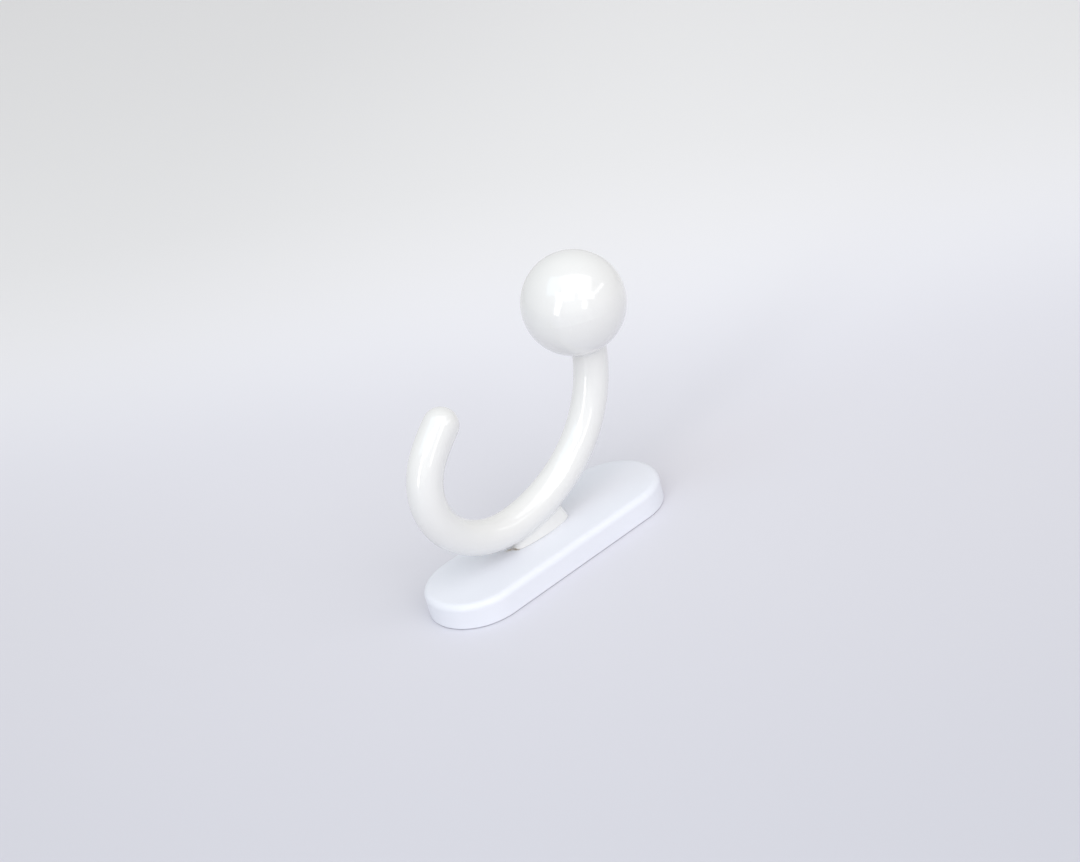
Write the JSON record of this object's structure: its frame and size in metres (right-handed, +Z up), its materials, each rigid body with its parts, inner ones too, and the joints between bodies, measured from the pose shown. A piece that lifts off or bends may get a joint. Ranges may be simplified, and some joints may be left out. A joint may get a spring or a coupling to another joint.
{
  "type": "wall coat hook",
  "caption": "White wall coat hook: a ball-ended upper arm and an upturned lower J in one round bar, standing on an upright stadium backplate.",
  "frame": {"origin": "centre of the backplate's back face, where it lies on the wall", "axes": "+Z up the wall along the backplate, -Y straight out of the wall towards the room, symmetric about X = 0"},
  "size_m": [0.04, 0.1066, 0.1161],
  "materials": {
    "plate_white": "satin, cool white",
    "hook_white": "gloss, warm white",
    "screw_steel": "zinc plated"
  },
  "bodies": {
    "root": {"backplate": "plate_white", "hook": "hook_white", "foot_screws": "screw_steel"}
  },
  "joints": []
}
